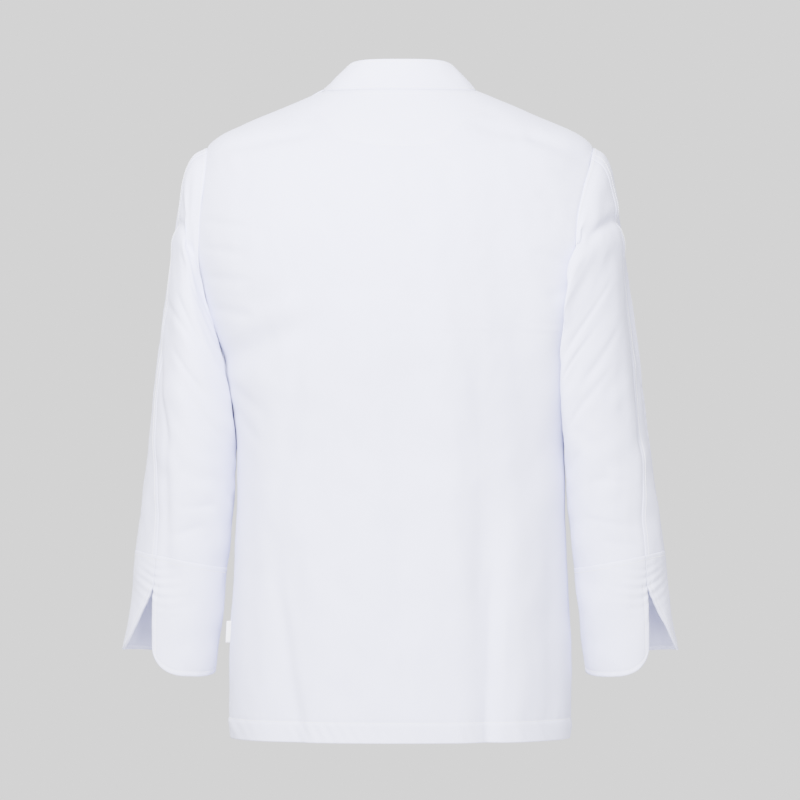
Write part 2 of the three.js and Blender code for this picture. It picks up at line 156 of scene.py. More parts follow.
SLEEVE = table("down outer_x outer_z inner_x inner_z", [
    [0.0, 231, SHOULDER_Z, 221, UNDERARM_Z], [0.04, 246, -76, 222, -302],
    [0.09, 258, -98, 221, -314], [0.16, 265, -140, 216, -331], [0.24, 272, -186, 209, -352],
    [0.34, 281, -246, 204, -378], [0.46, 292, -328, 199, -416], [0.58, 301, -412, 198, -458],
    [0.7, 309, -484, 200, -506], [0.815, 318, -553, 208, -574], [0.9, 323, -614, 214, -632],
    [1.0, 328, -690, 222, -696], [1.05, 331, -723, 226, -729],
])
POSE_NAMES = "down mid half turn lap trim"
POSE = {
    1: table(POSE_NAMES, [
        [0.0, -19, 61, 0, 0, 0], [0.06, -19, 62, 0, 0, 0], [0.12, -18, 64, -0.04, 0, -1],
        [0.24, -15, 71, -0.12, 0, -1], [0.36, -12, 75, -0.18, 0, 0],
        [0.48, -10, 74, -0.18, 0, 0], [0.62, -8, 69, -0.1, 0, 0], [0.82, -12, 62, 0, 0, 0],
        [1.0, -22, 60, 0, 0, 0],
    ]),
    -1: table(POSE_NAMES, [
        [0.0, 1, 80, 0, 0, 0], [0.06, 3, 80, 0.03, 4, 3], [0.12, 7, 80, 0.12, 14, 4],
        [0.24, 12, 80, 0.24, 30, 4], [0.36, 10, 79, 0.26, 26, 4], [0.48, 7, 75, 0.24, 15, 4],
        [0.62, 5, 69, 0.15, 4, 3], [0.82, 0, 62, 0.05, 0, 1], [1.0, -12, 60, 0, 0, 0],
    ]),
}

# %% [markdown]
# ## Creases
# Cloth that hangs from shoulders makes long soft folds, and short sharp ones where it is pulled
# or squeezed. A cloth simulation gives folds of its own choosing. To have the folds of this
# jacket, each one is listed instead: a soft trough or ridge along a line, with its own
# half width and depth. A little uneven waviness from a few dozen sines keeps the plain parts
# between them from looking pressed.

# %% Folds and waviness
FOLD_NAMES = "from_x from_z to_x to_z half depth"
BACK_FOLDS = table(FOLD_NAMES, [
    # the large ones, which the model has too
    [-103, -500, -108, -800, 20, -9], [-128, -520, -134, -800, 26, 5],
    [146, -540, 124, -800, 26, -6], [0, -330, -2, -640, 34, -4], [-56, -120, -50, -560, 30, 4],
    [-122, -150, -118, -420, 34, -4], [112, -210, 108, -520, 34, -4],
    [168, -240, 176, -330, 30, -6],
    # the sharp fold above the hem, and the soft one across from it
    [-112, -585, -105, -800, 7, -3.2], [-121, -590, -116, -800, 8, 2.6],
    [150, -585, 121, -760, 9, -2.2], [136, -600, 108, -770, 10, 1.6],
    # bands down the back
    [117, -280, 145, -490, 12, -1.9], [98, -300, 126, -500, 15, 1.3],
    [-58, -90, -69, -330, 17, -1.7], [-80, -240, -101, -430, 15, -1.4],
    [-145, -250, -159, -480, 22, -2.4], [-174, -240, -182, -520, 22, 2.2],
    [-60, -420, -78, -640, 16, 1.8], [84, -130, 96, -300, 26, -1.8], [20, -90, 8, -320, 30, 2.4],
    [24, -420, 40, -660, 18, 1.6], [0, -540, -6, -700, 10, -1.8],
    [78, -560, 60, -760, 22, -2.0], [184, -420, 176, -700, 12, -2.0],
    [-182, -520, -178, -760, 12, -1.8], [60, -90, 56, -300, 20, 1.6],
    # drag lines beside the left armhole
    [233, -158, 184, -166, 5, -1.5], [233, -190, 188, -198, 5, -1.7],
    [230, -226, 184, -230, 6, -1.8], [224, -262, 182, -272, 6, -1.6],
    [208, -324, 112, -282, 16, -4.6], [206, -296, 130, -256, 13, 2.2],
    [206, -350, 168, -384, 7, -1.6], [203, -378, 170, -420, 7, -1.4],
    # and beside the right one
    [-184, -101, -222, -112, 5, -1.6], [-164, -128, -205, -142, 6, -1.7],
    [-158, -154, -203, -172, 6, -1.4], [-160, -196, -205, -214, 7, -1.6],
    [-176, -250, -210, -236, 7, -1.6],
    # the hollow under each shoulder
    [216, -72, 108, -52, 8, -3.0], [-92, -44, -168, -58, 8, -2.8], [-160, -58, -226, -84, 8, -3.0],
    [118, -40, 70, -16, 7, -1.4], [-74, -16, -120, -34, 7, -1.8],
])
FRONT_FOLDS = table(FOLD_NAMES, [
    [150, -430, 142, -800, 26, -6], [118, -470, 112, -800, 24, 4],
    [-132, -450, -128, -800, 26, -6], [-166, -470, -160, -800, 24, 4],
    [96, -160, 104, -430, 26, 3], [-100, -160, -110, -420, 26, 3],
    [176, -250, 120, -330, 16, -4], [-176, -250, -124, -340, 16, -4],
    [206, -200, 160, -236, 8, -2], [-206, -206, -160, -232, 8, -2],
    [206, -150, 168, -178, 8, -1.6], [-206, -160, -170, -190, 8, -1.6],
    [180, -520, 176, -760, 12, -2.2], [-186, -520, -180, -760, 12, -2.2],
    [52, -330, 44, -620, 22, -2], [-44, -300, -40, -640, 22, -2],
    [186, -92, 110, -58, 8, -2.4], [-186, -92, -110, -58, 8, -2.4],
])
SLEEVE_FOLD_NAMES = "down angle to_down to_angle half depth"
SLEEVE_FOLDS = {
    1: table(SLEEVE_FOLD_NAMES, [
        # the crease that runs from the outer edge up into the armhole
        [0.205, 0.0, 0.126, 1.12, 0.009, -3.2], [0.13, 1.08, 0.0, 1.98, 0.009, -3.6],
        [0.235, 0.1, 0.155, 1.2, 0.022, 2.6], [0.155, 1.2, 0.03, 2.05, 0.022, 3.0],
        [0.20, 0.14, 0.05, 1.7, 0.045, -2.5], [0.34, 0.45, 0.8, 0.75, 0.05, -4],
        [0.2, 3.6, 0.45, 4.4, 0.05, -4],
        # the long fold beside the outer edge
        [0.43, 0.15, 0.564, 0.92, 0.010, -2.4], [0.55, 0.88, 0.83, 1.3, 0.012, -2.4],
        [0.46, 0.6, 0.82, 1.62, 0.022, 1.8],
        # small creases above and below the elbow
        [0.354, 0.31, 0.338, 1.34, 0.010, -1.8], [0.41, 0.91, 0.42, 1.75, 0.010, -1.8],
        [0.30, 0.9, 0.31, 1.7, 0.010, -1.2], [0.46, 1.5, 0.50, 2.2, 0.012, -1.3],
        [0.12, 0.6, 0.09, 1.2, 0.010, -1.2], [0.09, 5.6, 0.2, 5.9, 0.014, -1.6],
        [0.74, 2.0, 0.77, 1.3, 0.008, -1.1], [0.69, 2.2, 0.71, 1.5, 0.008, -0.9],
        [0.45, 5.2, 0.6, 4.4, 0.02, -2.4], [0.5, 3.9, 0.56, 5.2, 0.014, -2.2],
        [0.3, 5.6, 0.5, 5.4, 0.02, -2.2],
    ]),
    -1: table(SLEEVE_FOLD_NAMES, [
        # the deep crease, with the cloth below it standing out
        [0.205, 0.0, 0.104, 1.17, 0.010, -4.6], [0.108, 1.13, -0.01, 1.66, 0.010, -5.0],
        [0.24, 0.15, 0.14, 1.25, 0.024, 3.4], [0.14, 1.2, 0.04, 1.9, 0.024, 4.0],
        [0.3, 0.3, 0.62, 0.5, 0.05, -5], [0.2, 3.7, 0.45, 4.5, 0.05, -4],
        # long folds beside the outer edge
        [0.26, 0.2, 0.4, 0.06, 0.012, -2.2], [0.39, 0.0, 0.574, 0.49, 0.011, -2.4],
        [0.432, 0.41, 0.60, 0.62, 0.010, -2.0], [0.40, 0.75, 0.66, 0.9, 0.018, 1.4],
        # crumpling at the elbow and above it
        [0.494, 2.04, 0.60, 1.6, 0.010, -1.9], [0.25, 1.1, 0.27, 1.9, 0.010, -1.3],
        [0.31, 1.5, 0.33, 2.3, 0.010, -1.3], [0.36, 1.0, 0.40, 1.7, 0.010, -1.3],
        [0.42, 1.3, 0.46, 2.1, 0.010, -1.5], [0.55, 2.2, 0.59, 2.7, 0.010, -1.4],
        [0.5, 1.2, 0.55, 0.8, 0.010, -1.0], [0.63, 1.9, 0.66, 1.2, 0.010, -1.0],
        [0.72, 2.2, 0.75, 1.3, 0.008, -1.2], [0.77, 1.9, 0.79, 1.2, 0.008, -1.0],
        [0.1, 5.6, 0.2, 5.9, 0.014, -1.6], [0.45, 5.2, 0.6, 4.4, 0.02, -2.4],
        [0.5, 3.9, 0.56, 5.2, 0.014, -2.2], [0.3, 5.6, 0.5, 5.4, 0.02, -2.2],
    ]),
}


def fold(along, across, length, half, depth):
    """One soft trough or ridge, with ends that fade."""
    ends = smooth(-0.25, 0.2, along / length) * (1 - smooth(0.8, 1.25, along / length))
    return depth * ends * bell(across, half)


def relief_of(folds, x, z, scale=1.0):
    """The height of all folds of a table over the plain panel; scale counts one unit of z in x."""
    total = np.zeros(np.broadcast(x, z).shape)
    for from_x, from_z, to_x, to_z, half, depth in folds[1]:
        run = np.array([to_x - from_x, (to_z - from_z) * scale])
        length = np.hypot(*run)
        step_x, step_z = x - from_x, (z - from_z) * scale
        along = (step_x * run[0] + step_z * run[1]) / length
        across = (step_x * run[1] - step_z * run[0]) / length
        total += fold(along, across, length, half, depth)
    return total


def waviness(x, z, size, seed):
    """Uneven soft waves of about one millimetre, at most as short as the size given."""
    source = np.random.default_rng(seed)
    total = 0
    for _ in range(24):
        angle = source.uniform(0, TURN)
        length = size * source.uniform(1, 2.6)
        along = (x * math.cos(angle) + z * math.sin(angle)) * TURN / length
        total = total + length / size * np.sin(along + source.uniform(0, TURN))
    return total / 11


print("folds placed by hand", sum(len(folds[1]) for folds in
                                  [BACK_FOLDS, FRONT_FOLDS, *SLEEVE_FOLDS.values()]))

# %% [markdown]
# ## The skin of the body
# Each height of the trunk is a ring between an ellipse and a rounded box. A point on it is given
# by its height and its angle from the middle of the back or of the front. Everything that is sewn
# to the trunk, such as collar, buttons and stitches, is placed with this same function, so it
# always lies on the cloth.

# %% Points of the skin
def ring_point(face, angle, z):
    square = read(BODY, "square", z)
    reach = read(BODY, face, z) * (1 if face == "back" else -1)
    x = read(BODY, "half", z) * power(np.sin(angle), 2 / square)
    y = reach * power(np.cos(angle), 2 / square)
    return np.stack(np.broadcast_arrays(x, y, z), axis=-1)


def angle_at(x, z):
    share = np.clip(np.abs(x) / read(BODY, "half", z), 0, 1)
    return np.sign(x) * np.arcsin(share ** (read(BODY, "square", z) / 2))


def panel_edge(column, z):
    half = read(BODY, "half", z)
    return np.where(z <= UNDERARM_Z, half, np.minimum(half, read(ARMHOLE, column, z)))


def skin_point(face, angle, z, out):
    here = ring_point(face, angle, z)
    turned = ring_point(face, angle + 0.004, z) - ring_point(face, angle - 0.004, z)
    up = ring_point(face, angle, z + 1.0) - ring_point(face, angle, z - 1.0)
    normal = unit(np.cross(turned, up))
    flip = np.sum(normal[..., :2] * here[..., :2], axis=-1) < 0
    normal[flip] *= -1
    return here + normal * np.asarray(out)[..., None]


def spaced_angles(face, z, start, end, shares, inset):
    """Angles evenly spaced by length between two places of one ring, and that length."""
    angles = np.linspace(start, end, 241)
    steps = np.linalg.norm(np.diff(ring_point(face, angles, np.full(241, z)), axis=0), axis=1)
    lengths = np.concatenate([[0], np.cumsum(steps)])
    wanted = inset + shares * (lengths[-1] - 2 * inset)
    return np.interp(wanted, lengths, angles), lengths[-1]


# %% [markdown]
# ## A wall of cloth
# Cloth in a model is two skins and a rim: an outside, an inside a little over a millimetre behind
# it, and four narrow strips that close the edges. Solidify could add the inside to a single
# sheet, but here the inside comes from the same formula as the outside, so it never crosses it in
# a tight fold. Each wall also gets a map of how the panel was cut, in metres, for the weave.

# %% Turn two grids of points into a closed wall
JACKET = bpy.data.collections.new("jacket")
bpy.context.scene.collection.children.link(JACKET)


def cloth_wall(name, outside, inside, shade=None):
    """A closed wall between two grids of points in millimetres, shaped (across, up, 3)."""
    columns, rows = outside.shape[:2]
    count = columns * rows
    points = np.concatenate([outside.reshape(-1, 3), inside.reshape(-1, 3)]) * MM
    index = np.arange(count).reshape(columns, rows)
    a, b, c, d = index[:-1, :-1], index[1:, :-1], index[1:, 1:], index[:-1, 1:]
    front = np.stack([a, b, c, d], axis=-1).reshape(-1, 4)
    faces = [front, front[:, ::-1] + count]
    rim = np.concatenate([index[:, 0], index[-1, 1:], index[-2::-1, -1], index[0, -2:0:-1]])
    after = np.roll(rim, -1)
    faces.append(np.stack([after, rim, rim + count, after + count], axis=-1))
    faces = np.concatenate(faces)
    corners = points[faces]
    volume = np.sum(corners[:, 0] * np.cross(corners[:, 1], corners[:, 2]))
    volume += np.sum(corners[:, 0] * np.cross(corners[:, 2], corners[:, 3]))
    if volume < 0:
        faces = faces[:, ::-1]

    mesh = bpy.data.meshes.new(name)
    mesh.vertices.add(len(points))
    mesh.vertices.foreach_set("co", points.ravel())
    mesh.loops.add(faces.size)
    mesh.loops.foreach_set("vertex_index", faces.ravel().astype(np.int32))
    mesh.polygons.add(len(faces))
    mesh.polygons.foreach_set("loop_start", np.arange(0, faces.size, 4, dtype=np.int32))
    # the narrow rim is shaded flat, so that no dark line shows along the panel's edge
    mesh.polygons.foreach_set("use_smooth", np.arange(len(faces)) < len(faces) - len(rim))
    mesh.update()
    mesh.validate()

    across = np.linalg.norm(np.diff(outside, axis=0), axis=-1).cumsum(axis=0)
    up = np.linalg.norm(np.diff(outside, axis=1), axis=-1).cumsum(axis=1)
    u = np.concatenate([np.zeros((1, rows)), across]) - across[-1] / 2
    v = np.concatenate([np.zeros((columns, 1)), up], axis=1)
    cut = np.tile(np.stack([u, v], axis=-1).reshape(-1, 2) * MM, (2, 1))
    layer = mesh.uv_layers.new(name="cut")
    layer.data.foreach_set("uv", cut[faces.ravel()].ravel())
    if shade is not None:
        doubled = mesh.attributes.new("doubled", "FLOAT", "POINT")
        doubled.data.foreach_set("value", np.tile(shade.ravel(), 2))
    piece = bpy.data.objects.new(name, mesh)
    JACKET.objects.link(piece)
    first, second = outside[1:, 1:] - outside[:-1, :-1], outside[:-1, 1:] - outside[1:, :-1]
    return piece


def dressed(piece, nodes, material):
    """Hides the plain parts that the piece replaces, hangs it on the root and gives it its
    material.
    """
    piece.data.materials.clear()
    piece.data.materials.append(material)
    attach(piece, "root")
    if nodes:
        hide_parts(*nodes)
    return piece


# %% [markdown]
# ## Shader maths in plain Python
# A node tree for cloth is long when it is wired by hand. One small class wraps a socket, so that
# adding or multiplying two of them adds the Math nodes. Any other node comes from one method that
# takes its type, its settings and its inputs.

# %% A socket that can be added and multiplied
class Wire:
    def __init__(self, tree, socket):
        self.tree = tree
        self.socket = socket

    def node(self, kind, settings=(), **inputs):
        made = self.tree.nodes.new(kind)
        for name, value in dict(settings).items():
            setattr(made, name, value)
        for name, value in inputs.items():
            slot = made.inputs[int(name[1:]) if name[1:].isdigit() else name.replace("_", " ")]
            if isinstance(value, Wire):
                self.tree.links.new(value.socket, slot)
            else:
                slot.default_value = value
        return made

    def out(self, made, name=0):
        return Wire(self.tree, made.outputs[name])

    def into(self, shader, name):
        self.tree.links.new(self.socket, shader.inputs[name])

    def maths(self, operation, first, second=0.0):
        return self.out(self.node("ShaderNodeMath", {"operation": operation}, _0=first, _1=second))

    def __add__(self, other):
        return self.maths("ADD", self, other)

    def __radd__(self, other):
        return self.maths("ADD", other, self)

    def __mul__(self, other):
        return self.maths("MULTIPLY", self, other)

    def __rmul__(self, other):
        return self.maths("MULTIPLY", other, self)

    def sine(self):
        return self.maths("SINE", self)


def blank_material(name):
    """A material with one Principled shader, and a wire to start expressions from."""
    material = bpy.data.materials.new(name)
    material.use_nodes = True
    tree = material.node_tree
    tree.nodes.clear()
    shader = tree.nodes.new("ShaderNodeBsdfPrincipled")
    output = tree.nodes.new("ShaderNodeOutputMaterial")
    tree.links.new(shader.outputs[0], output.inputs[0])
    return material, shader, Wire(tree, None)


def two_colours(start, share, low, high):
    made = start.node("ShaderNodeMix", {"data_type": "RGBA"}, _0=share, _6=low, _7=high)
    return start.out(made, 2)


# %% [markdown]
# ## White twill
# The cloth is a fine twill of cotton and polyester: matt, cool white and closely woven, with tiny
# diagonal ribs. From a step away its weave only breaks the light up a little, so it is a shallow
# bump in the panel's own cut map. The colour wanders by about one part in fifty, the way washed
# and pressed cotton does, and the doubled parts are a touch denser.

# %% Twill material
TWILL_PITCH = 0.0007


def twill(name, tint, double_tint, weave_depth):
    material, shader, start = blank_material(name)
    cut = start.node("ShaderNodeUVMap", {"uv_map": "cut"})
    parts = start.node("ShaderNodeSeparateXYZ", _0=start.out(cut))
    u, v = start.out(parts, 0), start.out(parts, 1)
    ribs = ((u + v * 0.8) * (TURN / TWILL_PITCH)).sine()
    yarns = (u * (TURN / TWILL_PITCH * 2)).sine() * (v * (TURN / TWILL_PITCH * 2)).sine()
    slub = start.out(start.node("ShaderNodeTexNoise", Vector=start.out(cut), Scale=420.0,
                                Detail=2.0))
    place = start.out(start.node("ShaderNodeTexCoord"), "Object")
    cloud = start.out(start.node("ShaderNodeTexNoise", Vector=place, Scale=9.0, Detail=3.0))
    fine = start.out(start.node("ShaderNodeTexNoise", Vector=place, Scale=160.0, Detail=2.0))
    doubled = start.out(start.node("ShaderNodeAttribute", {"attribute_name": "doubled"}), "Fac")
    share = cloud * 0.7 + fine * 0.3
    single = two_colours(start, share, [c * 0.972 for c in tint] + [1], list(tint) + [1])
    colour = two_colours(start, doubled * 0.6, single, list(double_tint) + [1])
    colour.into(shader, "Base Color")
    rough = 0.86 + 0.08 * cloud
    rough.into(shader, "Roughness")
    weave = ribs * 0.5 + yarns * 0.25 + slub * 0.8
    bump = start.node("ShaderNodeBump", Strength=0.35, Distance=weave_depth, Height=weave)
    start.tree.links.new(bump.outputs[0], shader.inputs["Normal"])
    shader.inputs["Sheen Weight"].default_value = 0.15
    shader.inputs["Sheen Roughness"].default_value = 0.5
    shader.inputs["Specular IOR Level"].default_value = 0.25
    return material


TWILL, TWILL_DOUBLE = [
    twill(name, (0.67, 0.68, 0.93), (0.70, 0.71, 0.955), 0.00012)
    for name in ("white twill", "white twill doubled")]

# %% [markdown]
# ## The back
# The back is one piece from collar to hem, which is why the photo shows no yoke. Its grid is
# spaced evenly along the cloth, and closer together at the hem, where the doubled edge is
# stitched. The hem ropes: the stitching drags its two layers apart, so short slanting ridges
# run across it. Where two panels are sewn, each dips into the seam.

# %% Relief that all body panels share
SEAM_DIP = 0.55
TUCK = 3.5


def seam_dip(distance, depth=SEAM_DIP, half=1.8):
    """A panel dips where it is sewn to the next, with a slight ridge of turned-in cloth beside."""
    ridge = 0.3 * bell(distance - 6, 4)
    tucked = 0.45 * np.minimum(distance, 0)
    return ridge + tucked - depth * bell(np.maximum(distance, 0), half)


def tuck_at(z):
    """How far a body panel runs on under the sleeve at the armhole, as its seam allowance."""
    return TUCK * smooth(UNDERARM_Z, UNDERARM_Z + 8, z) * (1 - smooth(-76, SHOULDER_Z, z))


def tucked_edge(column, z):
    return np.minimum(panel_edge(column, z) + tuck_at(z), read(BODY, "half", z))


def hem_relief(x, z, seed):
    """The doubled hem: a step at its stitching, and the short slanting ridges of a roped hem."""
    height = z - HEM_Z
    band = 1 - smooth(HEM_DEPTH - 1.5, HEM_DEPTH + 1.5, height)
    groove = -0.7 * bell(height - HEM_DEPTH, 1.6)
    drift = waviness(x, z * 0.2, 90, seed) * 1.6
    rope = np.sin((x - height * 0.55) / 13.5 * TURN + drift)
    rope = rope * (0.55 + 0.3 * waviness(x, z * 0, 60, seed + 1))
    near = bell(height - HEM_DEPTH * 0.55, 11)
    pucker = np.sin(x / 9.0 * TURN + drift * 1.3) * bell(height - 29, 6) * 0.22
    return 0.5 * band + groove + band * near * rope * 0.75 + pucker


HALF_MOON = table("x z", [
    [-92, -28], [-80, -36], [-72, -43], [-60, -53], [-50, -60], [-38, -66], [-20, -68.5],
    [0, -69], [20, -68.5], [38, -67], [55, -63.5], [70, -60], [76, -54], [84, -43], [94, -29],
])


def inside_half_moon(x, z):
    """1 over the facing that lies behind the neck, 0 below its stitching."""
    return smooth(-2, 2, z - read(HALF_MOON, "z", x)) * (1 - smooth(88, 98, np.abs(x)))


def back_relief(x, z):
    total = relief_of(BACK_FOLDS, x, z) * smooth(0, -60, z)
    total += 0.75 * waviness(x, z, 38, 3) * smooth(0, -40, z)
    total += 0.22 * waviness(x, z * 0.6, 12, 4) * smooth(-20, -60, z)
    total += hem_relief(x, z, 5)
    line = (z - read(HALF_MOON, "z", x)) * (np.abs(x) < 94)
    total -= 0.8 * bell(line, 1.8) * smooth(98, 88, np.abs(x))
    return total


# %% Build the back panel
def body_rows(top=0.0, steps=150):
    """Heights of a body panel's rows: close together at the hem and at the neck."""
    hem = HEM_Z + np.array([0, 1.5, 4, 7, 10, 13, 16, 19, 21, 22.5, 24, 25.5, 27.5, 30.5, 34])
    body = np.linspace(hem[-1] + 4.4, -78, steps)
    top_rows = np.linspace(-74, top, 28)
    return np.concatenate([hem, body, top_rows])


def back_grid(rows, columns, out):
    grid = np.empty((columns, len(rows), 3))
    shares = np.linspace(0, 1, columns)
    for j, z in enumerate(rows):
        start = angle_at(-tucked_edge("right", z), z)
        end = angle_at(tucked_edge("left", z), z)
        angles, length = spaced_angles("back", z, start, end, shares, 0.05)
        heights = np.full(columns, z)
        x = ring_point("back", angles, heights)[:, 0]
        edge = np.minimum(shares, 1 - shares) * length - tuck_at(z)
        relief = back_relief(x, heights) + seam_dip(edge) + seam_dip(-z, 0.12)
        grid[:, j] = skin_point("back", angles, heights, out + relief)
    return grid


BACK_COLUMNS = 186
back_rows = body_rows(steps=162)
back_out = back_grid(back_rows, BACK_COLUMNS, 0)
shade = inside_half_moon(back_out[..., 0], back_out[..., 2])
shade = np.maximum(shade, 1 - smooth(HEM_DEPTH - 1, HEM_DEPTH + 1, back_out[..., 2] - HEM_Z))
back_in = back_grid(back_rows, BACK_COLUMNS, -CLOTH)
dressed(cloth_wall("back_panel", back_out, back_in, shade), ["back"], TWILL)

# %% [markdown]
# ## The fronts
# A double-breasted front is wide: each side reaches well past the middle and the left one lies on
# top. The same rows as the back's sag towards the middle here, so that the top row is the
# neckline. The photo hides them, so they are plain, with a doubled and edge-stitched front edge.

# %% Build both fronts
def neck_drop(share):
    return FRONT_NECK_DROP * np.maximum(0, 1 - share * share) ** 0.8


def front_relief(side, x, z):
    total = relief_of(FRONT_FOLDS, x * side, z) * smooth(-40, -90, z)
    total += 0.7 * waviness(x * side, z, 38, 13 + side) * smooth(-30, -70, z)
    return total + hem_relief(x * side, z, 15 + side)


def front_lift(side, x):
    return OVERLAP_LIFT * smooth(1.5, 1.12, x / OVERLAP_HALF) if side > 0 else 0


def front_surface(side, x, z, out):
    """A point of a front by its x (towards its own side) and z."""
    where = skin_point("front", angle_at(x, z), z, out + front_lift(side, x))
    where[..., 0] *= side
    return where


def front_grid(side, rows, columns, out):
    grid = np.empty((columns, len(rows), 3))
    shares = np.linspace(0, 1, columns)
    for j, level in enumerate(rows):
        edge = panel_edge("front", level)
        angles, length = spaced_angles("front", level, angle_at(tucked_edge("front", level), level),
                                       -angle_at(OVERLAP_HALF, level), shares, 0.05)
        x = ring_point("front", angles, np.full(columns, level))[:, 0]
        z = level - neck_drop(np.minimum(1, x / edge)) * smooth(-220, 0, level)
        relief = front_relief(side, x, z) * smooth(-76, -66, x) * mix(
            1, 0.25, smooth(30, -40, x) * (side < 0))
        relief = relief + seam_dip(shares * length - tuck_at(level)) + seam_dip(-level, 0.12)
        free = (1 - shares) * length
        relief += 0.5 * smooth(8, 6.5, free) - 0.5 * bell(free - 7, 1.6)
        grid[:, j] = front_surface(side, x, z, out + relief)
    return grid


FRONT_COLUMNS = 104
front_rows = body_rows(steps=130)
FRONTS = {}
for side, name in [(1, "left"), (-1, "right")]:
    outside = front_grid(side, front_rows, FRONT_COLUMNS, 0)
    shade = 1 - smooth(HEM_DEPTH - 1, HEM_DEPTH + 1, outside[..., 2] - HEM_Z)
    FRONTS[side] = outside
    front = cloth_wall(f"front_{name}_panel", outside,
                       front_grid(side, front_rows, FRONT_COLUMNS, -CLOTH), shade)
    dressed(front, [f"front_{name}"], TWILL)

# %% [markdown]
# ## The sleeves
# A sleeve starts as the armhole's own outline and turns into a round tube further down. It is
# cut in two pieces: the outer one runs over the front, and the under one lies against the body.
# The arm hangs a little forward, and on the right side the back of the sleeve laps over the
# torso, which makes the deep crease there. A sleeve's point is given by how far down it lies and
# by its angle, so its folds are listed in the same two numbers.

# %% Sleeve points
def armhole_edge(side, face):
    """The armhole's edge from the shoulder round to the underarm, as points and their shares."""
    column = "front" if face == "front" else ("left" if side > 0 else "right")
    z = np.arange(-40, UNDERARM_Z - 0.25, -0.5)
    z = z[read(BODY, "half", z) >= read(ARMHOLE, column, z)]
    points = skin_point(face, angle_at(panel_edge(column, z), z), z, np.zeros(len(z)))
    points[:, 0] *= side
    points[0, 1] = 0
    under = [[side * float(read(BODY, "half", UNDERARM_Z)), 0, UNDERARM_Z]]
    points = np.concatenate([points, under])
    lengths = np.linalg.norm(np.diff(points, axis=0), axis=1).cumsum()
    return points, np.concatenate([[0], lengths]) / lengths[-1]


EDGES = {(side, face): armhole_edge(side, face) for side in (1, -1) for face in ("back", "front")}


def section_point(side, angle, down):
    pose = POSE[side]
    outer = np.stack([read(SLEEVE, "outer_x", down) - read(pose, "trim", down),
                      read(SLEEVE, "outer_z", down)], axis=-1)
    inner = np.stack([read(SLEEVE, "inner_x", down), read(SLEEVE, "inner_z", down)], axis=-1)
    middle, reach = (outer + inner) / 2, (outer - inner) / 2
    flat = middle + reach * np.cos(angle)[..., None]
    y = read(pose, "mid", down) + read(pose, "half", down) * np.sin(angle)
    y = y - np.sin(read(pose, "turn", down)) * np.linalg.norm(reach, axis=-1) * np.cos(angle)
    behind = bell(angle % TURN - 2.1, 0.8)
    x = (flat[..., 0] - read(pose, "lap", down) * behind) * side
    return np.stack([x, y, flat[..., 1]], axis=-1)


def clear_of_body(point, clearance):
    """Moves points outwards that lie nearer to the torso than the clearance."""
    x, y, z = point[..., 0], point[..., 1], point[..., 2]
    back = y > 0
    square = read(BODY, "square", z)
    depth = np.where(back, read(BODY, "back", z), read(BODY, "front", z))
    across = np.maximum(0, 1 - np.abs(y / depth) ** square) ** (1 / square)
    edge = np.where(back, np.where(x > 0, panel_edge("left", z), panel_edge("right", z)),
                    panel_edge("front", z))
    skin = np.minimum(across * read(BODY, "half", z), edge)
    short = skin + clearance - np.abs(x)
    push = (short + np.sqrt(short * short + 4)) / 2
    moved = point.copy()
    moved[..., 0] += np.sign(x) * push * smooth(-0.5, 1, across * 40)
    return moved


# how the cloth below the armhole leans over to the torso: reach, rise, angle, width, its end
LAPS = {1: (12, 0, 2.7, 0.8, (0.35, 0.6)), -1: (14, 16, 2.0, 0.6, (0.1, 0.26))}
SEAM_LAP = 0.03


def bare_sleeve(side, angle, down):
    point = section_point(side, angle, down)
    turn = angle % TURN
    seam = np.empty(point.shape)
    for face, here in [("back", turn <= math.pi), ("front", turn > math.pi)]:
        points, lengths = EDGES[side, face]
        share = np.where(face == "back", turn, TURN - turn) / math.pi
        for axis in range(3):
            seam[here, axis] = np.interp(share[here], lengths, points[:, axis])
    fade = 1 - smooth(0, 0.3, down)
    point = point + (seam - section_point(side, angle, np.zeros_like(down))) * fade[..., None]
    point[..., 0] += side * 0.4
    reach, rise, middle, width, ends = LAPS[side]
    lap = (smooth(0.004, 0.05, down) * (1 - smooth(*ends, down))
           * bell(turn - middle, width))
    point[..., 0] -= side * reach * lap
    point[..., 1] += rise * lap
    held = clear_of_body(point, 0.9 * smooth(0, 0.05, down))
    return np.where((down > 0.02)[..., None], held, point)


def sleeve_normal(side, angle, down):
    turned = bare_sleeve(side, angle + 0.1, down) - bare_sleeve(side, angle - 0.1, down)
    along = bare_sleeve(side, angle, down + 0.01) - bare_sleeve(
        side, angle, np.maximum(0, down - 0.01))
    return unit(np.cross(turned, along)) * -side


FOLD_SCALE = 0.1
SLEEVE_ROUND = 62
SLEEVE_LENGTH = 760


def sleeve_relief(side, angle, down):
    turn = angle % TURN
    total = relief_of(SLEEVE_FOLDS[side], down, turn, FOLD_SCALE)
    around, length = turn * SLEEVE_ROUND, down * SLEEVE_LENGTH
    total += 0.8 * waviness(around, length, 34, 23 + side) * np.minimum(1, np.minimum(
        turn, TURN - turn) * 3 + 0.3)
    total += 0.2 * waviness(around, length * 0.6, 12, 27 + side)
    return total * smooth(0, 0.06, down)


def sleeve_point(side, angle, down, out):
    angle, down = np.broadcast_arrays(np.asarray(angle, float), np.asarray(down, float))
    extra = (np.asarray(out) + sleeve_relief(side, angle, down))[..., None]
    return bare_sleeve(side, angle, down) + sleeve_normal(side, angle, down) * extra


# %% Build the four sleeve pieces
def front_seam(down):
    return mix(3.7, 3.9, smooth(0.3, 0.8, down))


def back_seam(side, down):
    """The sleeves hang turned, so the back seam shows only further down, above the slit."""
    high = 0.25 if side > 0 else 0.4
    return mix(high, SLIT_ANGLE, smooth(0.45, 0.83, down))


